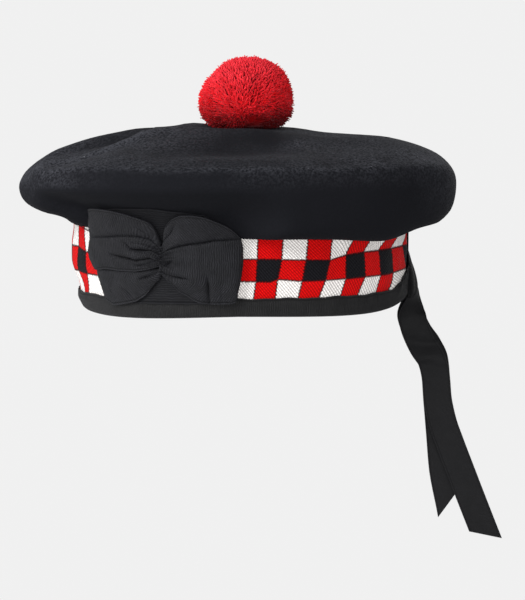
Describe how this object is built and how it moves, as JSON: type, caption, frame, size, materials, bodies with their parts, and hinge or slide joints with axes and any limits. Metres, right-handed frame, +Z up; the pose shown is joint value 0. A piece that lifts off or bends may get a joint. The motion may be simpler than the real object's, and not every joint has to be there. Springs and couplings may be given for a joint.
{
  "type": "balmoral bonnet",
  "caption": "Soft felted Highland bonnet with a diced headband, ribbon binding, ribbon bow cockade, two hanging ribbon tails and a red yarn pompom.",
  "frame": {"origin": "centre of the head opening, level with the lower edge of the binding at the sides", "axes": "+X to the back of the hat, -Y to the wearer's left side with the cockade, +Z up; -Z points out of the head opening"},
  "size_m": [0.29, 0.237, 0.2903],
  "materials": {
    "felt": "black felted wool with a short nap",
    "dicing": "woven red, white and black diced tape",
    "grosgrain": "black ribbed ribbon",
    "yarn": "red cut wool yarn"
  },
  "bodies": {
    "root": {"crown": "felt", "diced_band": "dicing", "binding": "grosgrain", "cockade_backing": "grosgrain", "bow_left_loop": "grosgrain", "bow_right_loop": "grosgrain", "bow_left_end": "grosgrain", "bow_gather": "grosgrain", "back_strap": "grosgrain", "back_knot": "grosgrain", "tail_near": "grosgrain", "tail_far": "grosgrain", "pompom": "yarn"}
  },
  "joints": []
}
